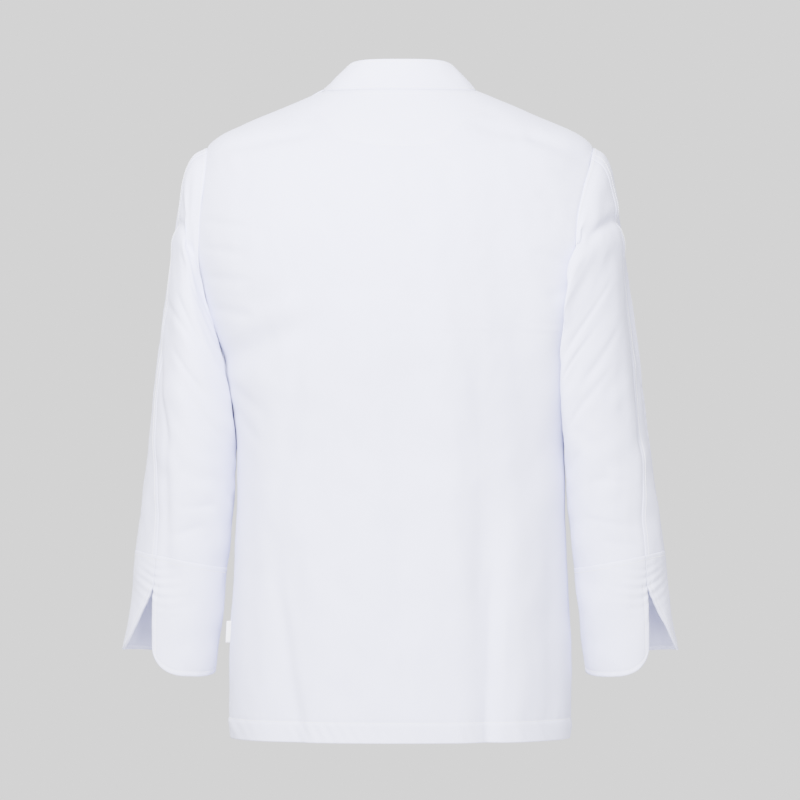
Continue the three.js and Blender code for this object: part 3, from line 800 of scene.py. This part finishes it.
def sleeve_grid(side, piece, columns, rows, out):
    shares, down = np.meshgrid(np.linspace(0, 1, columns), rows, indexing="ij")
    # the under piece runs on below the outer one, as its seam allowance
    if piece == "under":
        start, end, lap = back_seam(side, down), front_seam(down), SEAM_LAP
    else:
        start, end, lap = front_seam(down), back_seam(side, down) + TURN, 0
    angle = mix(start - lap, end + lap, shares)
    edge = (np.minimum(shares, 1 - shares) * (end - start + 2 * lap) - lap) * 45
    relief = seam_dip(edge, 0.2 * smooth(0.3, 0.7, down) + 0.05)
    relief += seam_dip(down * SLEEVE_LENGTH, 0.5, 2.5)
    return sleeve_point(side, angle, down, out + relief)


sleeve_rows = np.concatenate([np.linspace(0, 0.03, 9), np.linspace(0.036, CUFF_START, 160)])
for side, name in [(1, "left"), (-1, "right")]:
    for piece, columns in [("upper", 84), ("under", 66)]:
        wall = cloth_wall(f"sleeve_{name}_{piece}_panel",
                          sleeve_grid(side, piece, columns, sleeve_rows, 0),
                          sleeve_grid(side, piece, columns, sleeve_rows, -CLOTH))
        dressed(wall, [f"sleeve_{name}_{piece}"], TWILL)

# %% [markdown]
# ## The cuffs
# Each cuff is deep, doubled and open at the back. The flap on the side of the body has a round
# corner, and the other one runs up to a point. One row of numbers says how far each column of the
# grid reaches down, so the round corner and the rising front edge come from the same grid.

# %% Build the cuffs
CUFF_WALL = 2.2


def cuff_reach(across):
    corner = np.clip(across / 0.15, 0, 1)
    rounded = 0.36 * (1 - np.sqrt(1 - (1 - corner) ** 2))
    front_rise = 0.26 * smooth(0.2, 0.8, across)
    return 1.010 - (1 - SLIT_START) * (rounded + front_rise)


def cuff_place(across, share):
    """The angle and the distance down the sleeve of a point of the cuff."""
    down = mix(CUFF_START - 0.003, cuff_reach(across), share)
    below = np.clip((down - SLIT_START) / (0.975 - SLIT_START), 0, 1)
    opening = SLIT_ANGLE - np.arccos(mix(math.cos(SLIT_ANGLE), 0.998, below))
    start = SLIT_ANGLE + 0.001 + 0.1 * smooth(0, 1.2, below)
    angle = mix(start, SLIT_ANGLE + TURN - 0.001 - opening, across)
    return angle, down


def cuff_relief(side, across, share):
    from_top = share * 150
    from_foot = (1 - share) * 150
    from_side = np.minimum(across, 1 - across) * 370
    edge = np.minimum(from_foot, np.where(share > 0.27, from_side, 99))
    relief = -0.5 * bell(edge - 6, 1.5) - 0.5 * bell(edge, 1.5)
    relief += seam_dip(from_top, 0.15) - 0.3 * bell(from_top - 7, 1.5)
    near = bell(from_side, 34) * bell(share - 0.3, 0.18)
    relief += near * 0.9 * np.sin((from_top * 0.9 + from_side * 0.35) / 7.5 * TURN / 1.6)
    ripple = 0.35 * waviness(across * 370, from_top, 15, 33 + side)
    return relief + ripple * bell(edge, 9)


def cuff_point(side, across, share, out):
    angle, down = cuff_place(across, share)
    flare = 7 * smooth(0.72, 1, across) * smooth(0.4, 1, share) ** 1.5
    return sleeve_point(side, angle, down, out + 0.35 + flare + cuff_relief(side, across, share))


cuff_rows = np.concatenate([np.linspace(0, 0.06, 6), np.linspace(0.075, 0.93, 44),
                            np.linspace(0.94, 1, 8)])
cuff_columns = np.concatenate([np.linspace(0, 0.03, 10), np.linspace(0.036, 0.16, 24),
                               np.linspace(0.168, 0.965, 96), np.linspace(0.972, 1, 9)])
for side, name in [(1, "left"), (-1, "right")]:
    across, share = np.meshgrid(cuff_columns, cuff_rows, indexing="ij")
    cuff = cloth_wall(f"cuff_{name}_wall", cuff_point(side, across, share, 0),
                      cuff_point(side, across, share, -CUFF_WALL), np.ones(across.shape))
    dressed(cuff, [f"cuff_{name}"], TWILL_DOUBLE)

# %% [markdown]
# ## The collar
# A stand collar is a curved strip that leans in towards the neck. It starts on the neckline, so
# its foot is read from the body's skin, and its rim is a smaller ring that dips at the front. It
# is doubled and stitched round its edge, which leaves a fine line just below the rim.

# %% Build the collar
COLLAR_END = math.pi - 0.02


def collar_point(turn, up, out):
    turn, up = np.broadcast_arrays(np.asarray(turn, float), np.asarray(up, float))
    cos, sin = np.cos(turn), np.sin(turn)
    base_z = -FRONT_NECK_DROP * np.maximum(0, -cos) ** 1.6
    angle = angle_at(NECK_HALF_WIDTH * sin, base_z)
    over = np.where(cos < 0, smooth(1.5, 1.12, NECK_HALF_WIDTH / OVERLAP_HALF * sin), 0)
    lift = np.where(turn > 0, OVERLAP_LIFT * over, 0)
    back = skin_point("back", angle, base_z, lift)
    front = skin_point("front", angle, base_z, lift)
    front[..., 1] = -np.abs(front[..., 1])
    base = np.where((cos > 0)[..., None], back, front)
    rim = np.stack([66 * power(sin, 0.94), np.where(cos > 0, 44, 60) * power(cos, 0.95),
                    36 - 63 * ((1 - cos) / 2) ** 2.15], axis=-1)
    point = base + (rim - base) * up[..., None]
    reach = 2.5 * np.sin(math.pi * up) + out
    return point + np.stack([sin * reach, cos * reach, np.zeros_like(reach)], axis=-1)


def collar_relief(turn, up):
    from_top, from_foot = (1 - up) * 36, up * 36
    relief = -0.35 * bell(from_top - 2.6, 1.1)
    relief -= 0.1 * bell(from_foot, 1.8) + 0.4 * bell(from_top, 1.0)
    relief += 0.25 * waviness(turn * 75, up * 36, 14, 41)
    return relief + 0.35 * waviness(turn * 75, up * 10, 40, 43)


collar_rows = np.concatenate([[-0.02, 0.03, 0.07], np.linspace(0.12, 0.86, 13),
                              [0.9, 0.93, 0.96, 0.985, 1.0]])
turns, ups = np.meshgrid(np.linspace(-COLLAR_END, COLLAR_END, 190), collar_rows, indexing="ij")
corner = smooth(COLLAR_END, COLLAR_END - 0.09, np.abs(turns))
ups = ups * mix(0.84, 1, np.sqrt(corner))
relief = collar_relief(turns, ups)
collar = cloth_wall("collar_wall", collar_point(turns, ups, relief),
                    collar_point(turns, ups, relief * 0.2 - 2.2), np.ones(turns.shape))
dressed(collar, ["collar"], TWILL_DOUBLE)

# %% [markdown]
# ## The half-moon facing
# Inside the back neck lies a second piece of the same cloth, shaped like a half moon. From
# behind only its stitching shows, and looking into the neck one sees the piece itself.

# %% Build the facing
def facing_grid(out):
    across, share = np.meshgrid(np.linspace(-88, 88, 61), np.linspace(0, 1, 24), indexing="ij")
    foot = -68 + 36 * smooth(46, 92, np.abs(across))
    z = mix(foot, -1.5, share)
    relief = back_relief(across, z) + 0.15 * waviness(across, z, 20, 51)
    return skin_point("back", angle_at(across, z), z, out + relief)


facing = cloth_wall("neck_facing_panel", facing_grid(-CLOTH - 0.5), facing_grid(-CLOTH - 1.4))
dressed(facing, ["neck_facing"], TWILL)

# %% [markdown]
# ## Thread
# The edges, hem and seams are topstitched with white thread, about nine stitches to the inch.
# A stitch is a tiny rounded bar that sinks into the cloth at both ends. There are thousands, and
# they only follow lines, which is what Geometry Nodes are for: one tree walks along a curve and
# sets a bar at every step. Instances are made real at the end, so the thread is a plain mesh.

# %% A Geometry Nodes tree that sews
THREAD, thread_shader, thread_start = blank_material("white thread")
thread_place = thread_start.out(thread_start.node("ShaderNodeTexCoord"), "Object")
thread_noise = thread_start.node("ShaderNodeTexNoise", Vector=thread_place, Scale=900.0)
thread_colour = two_colours(thread_start, thread_start.out(thread_noise),
                            [0.80, 0.80, 0.84, 1], [0.87, 0.87, 0.90, 1])
thread_colour.into(thread_shader, "Base Color")
thread_shader.inputs["Roughness"].default_value = 0.7


def sewing_tree():
    tree = bpy.data.node_groups.new("sew along lines", "GeometryNodeTree")
    face = tree.interface
    face.new_socket("Lines", in_out="INPUT", socket_type="NodeSocketGeometry")
    for name, value in [("Pitch", 0.0028), ("Stitch length", 0.0022), ("Thickness", 0.00028)]:
        face.new_socket(name, in_out="INPUT", socket_type="NodeSocketFloat").default_value = value
    face.new_socket("Material", in_out="INPUT", socket_type="NodeSocketMaterial")
    face.new_socket("Thread", in_out="OUTPUT", socket_type="NodeSocketGeometry")
    nodes, links = tree.nodes, tree.links
    given, made = nodes.new("NodeGroupInput"), nodes.new("NodeGroupOutput")

    steps = nodes.new("GeometryNodeCurveToPoints")
    steps.mode = "LENGTH"
    links.new(given.outputs["Lines"], steps.inputs["Curve"])
    links.new(given.outputs["Pitch"], steps.inputs["Length"])
    bar = nodes.new("GeometryNodeMeshCylinder")
    bar.fill_type = "NGON"
    bar.inputs["Vertices"].default_value = 5
    bar.inputs["Side Segments"].default_value = 1
    links.new(given.outputs["Thickness"], bar.inputs["Radius"])
    links.new(given.outputs["Stitch length"], bar.inputs["Depth"])
    place = nodes.new("GeometryNodeInstanceOnPoints")
    links.new(steps.outputs["Points"], place.inputs["Points"])
    links.new(bar.outputs["Mesh"], place.inputs["Instance"])
    links.new(steps.outputs["Rotation"], place.inputs["Rotation"])
    real = nodes.new("GeometryNodeRealizeInstances")
    links.new(place.outputs[0], real.inputs[0])
    paint = nodes.new("GeometryNodeSetMaterial")
    links.new(real.outputs[0], paint.inputs["Geometry"])
    links.new(given.outputs["Material"], paint.inputs["Material"])
    links.new(paint.outputs[0], made.inputs["Thread"])
    return tree


SEWING = sewing_tree()
SOCKETS = {item.name: item.identifier for item in SEWING.interface.items_tree
           if item.in_out == "INPUT"}


def sewn(name, lines, **sizes):
    """A mesh of stitches along several lines of points, in millimetres."""
    curve = bpy.data.curves.new(name + " lines", "CURVE")
    curve.dimensions = "3D"
    for line in lines:
        spline = curve.splines.new("POLY")
        spline.points.add(len(line) - 1)
        spline.points.foreach_set("co", np.column_stack([line * MM, np.ones(len(line))]).ravel())
    guide = bpy.data.objects.new(name + " guide", curve)
    JACKET.objects.link(guide)
    modifier = guide.modifiers.new("sewing", "NODES")
    modifier.node_group = SEWING
    modifier[SOCKETS["Material"]] = THREAD
    for size, value in sizes.items():
        modifier[SOCKETS[size.replace("_", " ")]] = value
    bpy.context.view_layer.update()
    done = guide.evaluated_get(bpy.context.evaluated_depsgraph_get())
    mesh = bpy.data.meshes.new_from_object(done)
    mesh.name = name
    bpy.data.objects.remove(guide)
    thread = bpy.data.objects.new(name, mesh)
    JACKET.objects.link(thread)
    print(name, len(mesh.polygons), "faces")
    return thread


# %% Sew the body
THREAD_OUT = 0.12


def back_line(across_from, across_to, z, steps=240):
    """A level line of stitches on the back, from one share of its width to another."""
    start, end = angle_at(-panel_edge("right", z), z), angle_at(panel_edge("left", z), z)
    shares = np.linspace(across_from, across_to, steps)
    angles, _ = spaced_angles("back", z, start, end, shares, 0.15)
    heights = np.full(steps, float(z))
    x = ring_point("back", angles, heights)[:, 0]
    return skin_point("back", angles, heights, back_relief(x, heights) + THREAD_OUT)


def on_grid(grid, column, row):
    """Points of a grid at fractional columns and rows."""
    column = np.clip(column, 0, grid.shape[0] - 1.001)
    row = np.clip(row, 0, grid.shape[1] - 1.001)
    i, j = column.astype(int), row.astype(int)
    s, t = (column - i)[..., None], (row - j)[..., None]
    low = grid[i, j] * (1 - s) + grid[i + 1, j] * s
    high = grid[i, j + 1] * (1 - s) + grid[i + 1, j + 1] * s
    return low * (1 - t) + high * t


moon_x = np.linspace(-92, 94, 200)
moon_z = read(HALF_MOON, "z", moon_x)
moon = skin_point("back", angle_at(moon_x, moon_z), moon_z,
                  back_relief(moon_x, moon_z) + THREAD_OUT)
neck = back_line(0.02, 0.98, -6)
hem_line = back_line(0.004, 0.996, HEM_Z + HEM_DEPTH)
dressed(sewn("back_thread", [hem_line, moon, neck]), [], THREAD)

for side, name in [(1, "left"), (-1, "right")]:
    grid = FRONTS[side] + np.array([0, -THREAD_OUT, 0])
    hem_row = np.full(200, float(np.argmin(np.abs(front_rows - (HEM_Z + HEM_DEPTH)))))
    hem = on_grid(grid, np.linspace(0.5, FRONT_COLUMNS - 1.5, 200), hem_row)
    edge_rows = np.linspace(0.5, len(front_rows) - 1.5, 300)
    edge = on_grid(grid, np.full(300, FRONT_COLUMNS - 3.2), edge_rows)
    lines = [hem, edge]
    if side > 0:
        lines.append(on_grid(grid, np.full(300, FRONT_COLUMNS - 1.7), edge_rows))
    dressed(sewn(f"front_{name}_thread", lines), [], THREAD)

# %% Sew the collar, the armholes, the sleeves and the cuffs
collar_lines = []
for up in (0.925, 0.075):
    line_turns = np.linspace(-COLLAR_END + 0.05, COLLAR_END - 0.05, 400)
    line_ups = np.full(400, up)
    collar_lines.append(collar_point(line_turns, line_ups,
                                     collar_relief(line_turns, line_ups) + THREAD_OUT))
dressed(sewn("collar_thread", collar_lines), [], THREAD)

for side, name in [(1, "left"), (-1, "right")]:
    round_angles = np.linspace(0.4, TURN + 0.3, 260)
    armhole = sleeve_point(side, round_angles, np.full(260, 0.0085), 0.35 + THREAD_OUT)
    down = np.linspace(0.012, CUFF_START - 0.002, 260)
    seam = sleeve_point(side, back_seam(side, down) - 0.1, down, 0.3 + THREAD_OUT)
    dressed(sewn(f"sleeve_{name}_thread", [armhole, seam]), [], THREAD)

    across = np.linspace(0.004, 0.996, 260)
    lines = [cuff_point(side, across, np.full(260, 0.047), THREAD_OUT)]
    across = np.linspace(0.016, 0.984, 260)
    lines.append(cuff_point(side, across, np.full(260, 0.96), THREAD_OUT))
    for flap in (0.016, 0.984):
        share = np.linspace(0.3, 0.96, 80)
        lines.append(cuff_point(side, np.full(80, flap), share, THREAD_OUT))
    dressed(sewn(f"cuff_{name}_thread", lines), [], THREAD)

# %% [markdown]
# ## Buttons
# Ten plain resin buttons close the front in two rows. A button is turned like a bowl: a flat
# foot, a rounded rim and a shallow dish with four holes. Its profile is spun round an axis, the
# holes are cut with a Boolean, and thread crosses between them. The row near the free edge goes
# through worked buttonholes, whose thread lies across the slit, bar by bar.

# %% Turn one button and place ten
RESIN, resin_shader, resin_start = blank_material("white resin")
resin_place = resin_start.out(resin_start.node("ShaderNodeTexCoord"), "Object")
resin_cloud = resin_start.out(resin_start.node("ShaderNodeTexNoise", Vector=resin_place,
                                               Scale=240.0, Detail=3.0))
resin_colour = two_colours(resin_start, resin_cloud, [0.80, 0.80, 0.79, 1], [0.88, 0.88, 0.86, 1])
resin_colour.into(resin_shader, "Base Color")
(0.24 + 0.16 * resin_cloud).into(resin_shader, "Roughness")
resin_shader.inputs["Coat Weight"].default_value = 0.3

BUTTON_PROFILE = [(0, 0), (6.6, 0), (7.6, 0.15), (8.4, 0.6), (8.9, 1.3), (9.0, 1.9), (8.8, 2.5),
                  (8.3, 2.9), (7.6, 3.0), (6.9, 2.85), (6.3, 2.45), (5.6, 2.25), (0, 2.2)]
HOLE_PLACES = [(1.9, 1.9), (-1.9, 1.9), (-1.9, -1.9), (1.9, -1.9)]


def turned(name, profile, segments, centre=(0, 0)):
    """A closed body of revolution round the z axis, in metres."""
    ring = np.array([p for p in profile if p[0] > 0], float)
    turns = np.arange(segments) * TURN / segments
    points = [(centre[0], centre[1], profile[0][1])]
    for radius, height in ring:
        points += [(centre[0] + radius * math.cos(t), centre[1] + radius * math.sin(t), height)
                   for t in turns]
    points.append((centre[0], centre[1], profile[-1][1]))
    faces = []
    for k in range(segments):
        after = (k + 1) % segments
        faces.append((0, 1 + after, 1 + k))
        for level in range(len(ring) - 1):
            low, high = 1 + level * segments, 1 + (level + 1) * segments
            faces.append((low + k, low + after, high + after, high + k))
        top = 1 + (len(ring) - 1) * segments
        faces.append((top + k, top + after, len(points) - 1))
    mesh = bpy.data.meshes.new(name)
    mesh.from_pydata([tuple(c * MM for c in p) for p in points], [], faces)
    mesh.polygons.foreach_set("use_smooth", np.ones(len(faces), bool))
    made = bpy.data.objects.new(name, mesh)
    JACKET.objects.link(made)
    return made


def button_mesh():
    blank = turned("button blank", BUTTON_PROFILE, 40)
    drills = [turned("drill", [(0, -2), (0.95, -2), (0.95, 5), (0, 5)], 12, place)
              for place in HOLE_PLACES]
    for drill in drills:
        cut = blank.modifiers.new("hole", "BOOLEAN")
        cut.object = drill
        cut.solver = "EXACT"
    bpy.context.view_layer.update()
    done = blank.evaluated_get(bpy.context.evaluated_depsgraph_get())
    mesh = bpy.data.meshes.new_from_object(done)
    for used in [blank, *drills]:
        bpy.data.objects.remove(used)
    return mesh


def button_place(side, row):
    """The foot of a button and the direction it faces, in millimetres."""
    z, x = -92.0 - 105 * row, side * (62 - 1.5 * row)
    angle = angle_at(np.array([x]), np.array([z]))
    foot = skin_point("front", angle, np.array([z]), [OVERLAP_LIFT + 0.7])[0]
    tip = skin_point("front", angle, np.array([z]), [OVERLAP_LIFT + 1.7])[0]
    return foot, tip - foot


BUTTON = button_mesh()
print("one button", len(BUTTON.polygons), "faces")
cross_lines, hole_bars = [], []
for side, name in [(1, "left"), (-1, "right")]:
    for row in range(5):
        foot, facing_way = button_place(side, row)
        spin = Vector(facing_way).to_track_quat("Z", "Y").to_matrix().to_4x4()
        spin.translation = Vector(foot * MM)
        mesh = BUTTON.copy()
        mesh.transform(spin)
        button = bpy.data.objects.new(f"button_{name}_{row + 1}_resin", mesh)
        JACKET.objects.link(button)
        dressed(button, [f"button_{name}_{row + 1}"], RESIN)
        turn = np.array(spin.to_3x3())
        for a, b in [(0, 2), (1, 3)]:
            ends = [turn @ np.array([*HOLE_PLACES[k], 2.3]) + foot for k in (a, b)]
            share = np.linspace(0, 1, 9)[:, None]
            arch = turn @ np.array([0, 0, 0.35])
            cross_lines.append(mix(ends[0], ends[1], share) + arch * np.sin(share * math.pi))
            cross_lines.append(cross_lines[-1] + turn @ np.array([0.3, -0.3, 0]))
        if side < 0:
            for k in range(-18, 19):
                for edge_side in (1, -1):
                    x = foot[0] - 3 + k * 0.62
                    rise = np.array([0.3, 1.7]) * edge_side
                    z = foot[2] + rise
                    bar = skin_point("front", angle_at(np.full(2, x), z), z,
                                     np.full(2, OVERLAP_LIFT + 0.1)
                                     + front_relief(1, np.full(2, x), z))
                    hole_bars.append(bar)

dressed(sewn("button_thread", cross_lines, Pitch=0.0006, Stitch_length=0.0008,
             Thickness=0.00022), [], THREAD)
dressed(sewn("buttonhole_thread", hole_bars, Pitch=0.0013, Stitch_length=0.0016,
             Thickness=0.00028), [], THREAD)

# %% [markdown]
# ## The side tab
# A short folded ribbon is caught in the left side seam. It is woven satin, so it shines more
# than the twill does. It is left plain.

# %% Fold the ribbon
RIBBON, ribbon_shader, ribbon_start = blank_material("white satin ribbon")
ribbon_cut = ribbon_start.node("ShaderNodeUVMap", {"uv_map": "cut"})
ribbon_parts = ribbon_start.node("ShaderNodeSeparateXYZ", _0=ribbon_start.out(ribbon_cut))
ribbon_yarn = (ribbon_start.out(ribbon_parts, 0) * (TURN / 0.0003)).sine()
ribbon_colour = two_colours(ribbon_start, ribbon_yarn * 0.5 + 0.5, [0.84, 0.84, 0.87, 1],
                            [0.88, 0.88, 0.90, 1])
ribbon_colour.into(ribbon_shader, "Base Color")
ribbon_shader.inputs["Roughness"].default_value = 0.45


RIBBON_LONG, RIBBON_HIGH, RIBBON_FOOT, RIBBON_REACH, RIBBON_BEND = 14, 26, -662, 5.2, 0.5


def ribbon_grid(out):
    share, height = np.meshgrid(np.linspace(0, 1, 25), np.linspace(0, RIBBON_HIGH, 14),
                                indexing="ij")
    run = (share - 0.5) * RIBBON_LONG
    turn = np.clip(run / RIBBON_BEND, -math.pi / 2, math.pi / 2)
    straight = np.maximum(np.abs(run) - RIBBON_BEND * math.pi / 2, 0)
    z = RIBBON_FOOT + height
    x = read(BODY, "half", z) + RIBBON_REACH + (RIBBON_BEND + out) * np.cos(turn) - straight
    y = (RIBBON_BEND + out) * np.sin(turn) + 0.35 * np.sin(height / RIBBON_HIGH * math.pi)
    return np.stack([x, y, z], axis=-1)


ribbon = cloth_wall("side_label_ribbon", ribbon_grid(0.15), ribbon_grid(-0.15))
dressed(ribbon, ["side_label"], RIBBON)

# %% [markdown]
# ## Studio
# The photo's backdrop is one even light grey, so the world is that grey, and a pale floor lies
# below the hem, too low for the picture. Two large soft lamps stand on the camera's side, and
# one on the other side serves the hidden front.

# %% Floor, world and lamps
def make_floor():
    mesh = bpy.data.meshes.new("floor")
    half, height = 3.5, -1.5
    mesh.from_pydata([(-half, -half, height), (half, -half, height), (half, half, height),
                      (-half, half, height)], [], [(0, 1, 2, 3)])
    material, shader, _ = blank_material("pale floor")
    shader.inputs["Base Color"].default_value = (0.62, 0.62, 0.62, 1)
    shader.inputs["Roughness"].default_value = 0.9
    mesh.materials.append(material)
    floor = bpy.data.objects.new("floor", mesh)
    bpy.context.collection.objects.link(floor)


def make_world(level):
    world = bpy.data.worlds.new("studio")
    world.use_nodes = True
    world.node_tree.nodes["Background"].inputs["Color"].default_value = (level, level, level, 1)
    bpy.context.scene.world = world


def soft_lamp(name, place, target, size, watts):
    data = bpy.data.lights.new(name, "AREA")
    data.shape = "DISK"
    data.size = size
    data.energy = watts
    lamp = bpy.data.objects.new(name, data)
    lamp.location = place
    away = Vector(target) - Vector(place)
    lamp.rotation_euler = away.to_track_quat("-Z", "Y").to_euler()
    bpy.context.collection.objects.link(lamp)


make_floor()
make_world(1.6)
soft_lamp("key", (0.35, 1.8, 0.75), (0.0, 0.0, -0.25), 1.0, 250)
soft_lamp("beside the camera", (-0.9, 4.6, -0.1), (0, 0, -0.35), 1.0, 130)
soft_lamp("front", (0.6, -3.6, 1.2), (0, 0, -0.35), 1.8, 190)
